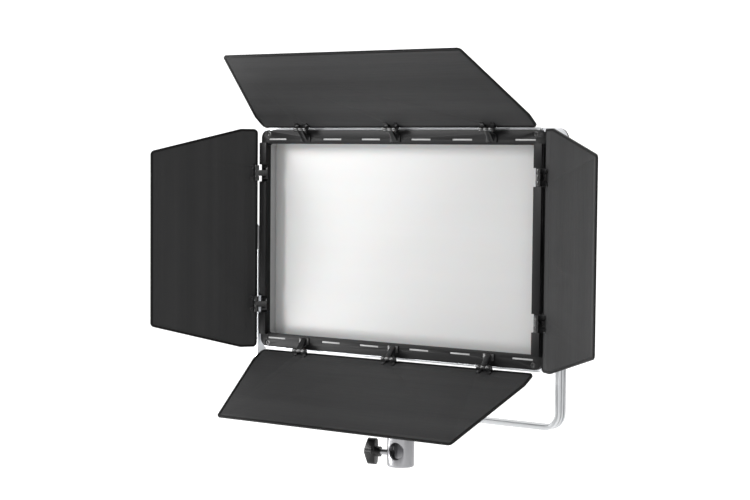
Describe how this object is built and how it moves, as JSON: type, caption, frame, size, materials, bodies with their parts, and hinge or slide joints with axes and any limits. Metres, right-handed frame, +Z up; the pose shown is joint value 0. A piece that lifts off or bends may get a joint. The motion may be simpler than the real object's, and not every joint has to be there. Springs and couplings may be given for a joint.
{
  "type": "led panel light with barn doors",
  "caption": "Rectangular LED panel light with hinged barn doors, tilting in a U-shaped yoke on a clamping stand receiver, with controls on its back.",
  "frame": {"origin": "centre of the stand socket's mouth, on the socket's axis", "axes": "+Z up, out of the socket into the part; the light shines along -Y; +X along the yoke's cross bar, to the right seen from the front"},
  "size_m": [0.541, 0.1954, 0.4352],
  "materials": {
    "yoke_silver": "satin grey-silver bar",
    "satin_steel": "satin bright steel",
    "dark_steel": "dark plated steel",
    "black_steel": "semi-matt black",
    "black_knob": "moulded, lightly grained",
    "black_plastic": "moulded, fine grain",
    "washer_rubber": "plain",
    "housing_silver": "satin silver extrusion",
    "black_frame": "black anodised, satin",
    "door_black": "black anodised sheet, fine ribbed, satin",
    "white_liner": "white satin",
    "diffuser_white": "opal sheet, translucent",
    "board_white": "white coated board",
    "led_yellow": "phosphor yellow",
    "bare_aluminium": "mill finish",
    "back_paint": "fine-textured dark grey paint",
    "board_green": "solder mask green",
    "screen_black": "glossy dark screen",
    "screen_glass": "clear tinted window",
    "dial_black": "soft ribbed grip",
    "button_grey": "grey rubberised key",
    "rocker_black": "gloss black",
    "contact_brass": "gold-plated",
    "catch_red": "dark red"
  },
  "bodies": {
    "yoke": {"yoke": "yoke_silver", "stand_receiver": "satin_steel", "receiver_bolt": "dark_steel"},
    "clamp_screw": {"clamp_screw": "satin_steel"},
    "wing_knob": {"wing_knob": "black_knob"},
    "panel": {"pivot_blocks": "black_plastic", "pivot_bolts": "dark_steel", "friction_washers": "washer_rubber", "housing": "housing_silver", "front_frame": "black_frame", "frame_screws": "black_steel", "light_box": "white_liner", "diffuser": "diffuser_white", "led_board": "board_white", "led_chips": "led_yellow", "heat_sink": "bare_aluminium", "back_panel": "back_paint", "back_screws": "satin_steel", "top_frame_hinges": "black_steel", "bottom_frame_hinges": "black_steel", "left_frame_hinges": "black_steel", "right_frame_hinges": "black_steel", "hinge_pins": "black_steel", "control_box": "black_plastic", "box_screws": "satin_steel", "driver_board": "board_green", "control_board": "board_green", "display_module": "screen_black", "display_window": "screen_glass", "encoders": "satin_steel", "button_switches": "black_plastic", "rocker_frame": "black_plastic", "power_inlet": "black_plastic", "data_sockets": "black_plastic", "battery_plate": "black_plastic", "battery_contacts": "contact_brass"},
    "top_door": {"top_door": "door_black", "top_door_hinges": "black_steel", "top_door_rivets": "black_steel"},
    "bottom_door": {"bottom_door": "door_black", "bottom_door_hinges": "black_steel", "bottom_door_rivets": "black_steel"},
    "left_door": {"left_door": "door_black", "left_door_hinges": "black_steel", "left_door_rivets": "black_steel"},
    "right_door": {"right_door": "door_black", "right_door_hinges": "black_steel", "right_door_rivets": "black_steel"},
    "tilt_knob_left": {"tilt_knob_left": "black_knob"},
    "tilt_knob_right": {"tilt_knob_right": "black_knob"},
    "brightness_dial": {"brightness_dial": "dial_black"},
    "colour_dial": {"colour_dial": "dial_black"},
    "channel_dial": {"channel_dial": "dial_black"},
    "button_menu": {"button_menu": "button_grey"},
    "button_back": {"button_back": "button_grey"},
    "button_up": {"button_up": "button_grey"},
    "button_down": {"button_down": "button_grey"},
    "power_rocker": {"power_rocker": "rocker_black"},
    "battery_catch": {"battery_catch": "catch_red"}
  },
  "joints": [
    {"name": "tilt", "type": "hinge", "parent": "yoke", "child": "panel", "pos_m": [0, 0, 0.238], "axis": [-1, 0, 0], "range_deg": [-5, 90]},
    {"name": "top_door_hinge", "type": "hinge", "parent": "panel", "child": "top_door", "pos_m": [0, -0.0236, 0.3586], "axis": [-1, 0, 0], "range_deg": [-126.6, 63.4]},
    {"name": "bottom_door_hinge", "type": "hinge", "parent": "panel", "child": "bottom_door", "pos_m": [0, -0.0236, 0.1174], "axis": [1, 0, 0], "range_deg": [-120.2, 59.8]},
    {"name": "left_door_hinge", "type": "hinge", "parent": "panel", "child": "left_door", "pos_m": [-0.1845, -0.0236, 0.238], "axis": [0, 0, -1], "range_deg": [-121.4, 28.6]},
    {"name": "right_door_hinge", "type": "hinge", "parent": "panel", "child": "right_door", "pos_m": [0.1845, -0.0236, 0.238], "axis": [0, 0, 1], "range_deg": [-145.6, 4.4]},
    {"name": "tilt_knob_left_turn", "type": "hinge", "parent": "panel", "child": "tilt_knob_left", "pos_m": [-0.211, 0, 0.238], "axis": [-1, 0, 0], "range_deg": [0, 360]},
    {"name": "tilt_knob_right_turn", "type": "hinge", "parent": "panel", "child": "tilt_knob_right", "pos_m": [0.211, 0, 0.238], "axis": [1, 0, 0], "range_deg": [0, 360]},
    {"name": "clamp_screw_slide", "type": "slide", "parent": "yoke", "child": "clamp_screw", "axis": [0.9781, 0.2079, 0], "range_m": [-0.002, 0.001]},
    {"name": "wing_knob_turn", "type": "hinge", "parent": "clamp_screw", "child": "wing_knob", "pos_m": [-0.03326, -0.00707, 0.014], "axis": [0.9781, 0.2079, 0], "range_deg": [-721, 361]},
    {"name": "brightness_dial_turn", "type": "hinge", "parent": "panel", "child": "brightness_dial", "pos_m": [-0.093, 0.057, 0.234], "axis": [0, -1, 0], "continuous": true},
    {"name": "colour_dial_turn", "type": "hinge", "parent": "panel", "child": "colour_dial", "pos_m": [-0.06, 0.057, 0.234], "axis": [0, -1, 0], "continuous": true},
    {"name": "channel_dial_turn", "type": "hinge", "parent": "panel", "child": "channel_dial", "pos_m": [-0.027, 0.057, 0.234], "axis": [0, -1, 0], "continuous": true},
    {"name": "button_menu_press", "type": "slide", "parent": "panel", "child": "button_menu", "axis": [0, -1, 0], "range_m": [0, 0.0008], "stiffness_N_per_m": 500, "springref_m": -0.001},
    {"name": "button_back_press", "type": "slide", "parent": "panel", "child": "button_back", "axis": [0, -1, 0], "range_m": [0, 0.0008], "stiffness_N_per_m": 500, "springref_m": -0.001},
    {"name": "button_up_press", "type": "slide", "parent": "panel", "child": "button_up", "axis": [0, -1, 0], "range_m": [0, 0.0008], "stiffness_N_per_m": 500, "springref_m": -0.001},
    {"name": "button_down_press", "type": "slide", "parent": "panel", "child": "button_down", "axis": [0, -1, 0], "range_m": [0, 0.0008], "stiffness_N_per_m": 500, "springref_m": -0.001},
    {"name": "power_rocker_tip", "type": "hinge", "parent": "panel", "child": "power_rocker", "pos_m": [-0.06, 0.0545, 0.189], "axis": [0, 0, -1], "range_deg": [0, 18]},
    {"name": "battery_catch_slide", "type": "slide", "parent": "panel", "child": "battery_catch", "axis": [-1, 0, 0], "range_m": [0, 0.003], "stiffness_N_per_m": 800, "springref_m": -0.002}
  ],
  "couplings": [
    {"joint": "wing_knob_turn", "follows": "clamp_screw_slide", "rad_per_m": 6283.2}
  ]
}
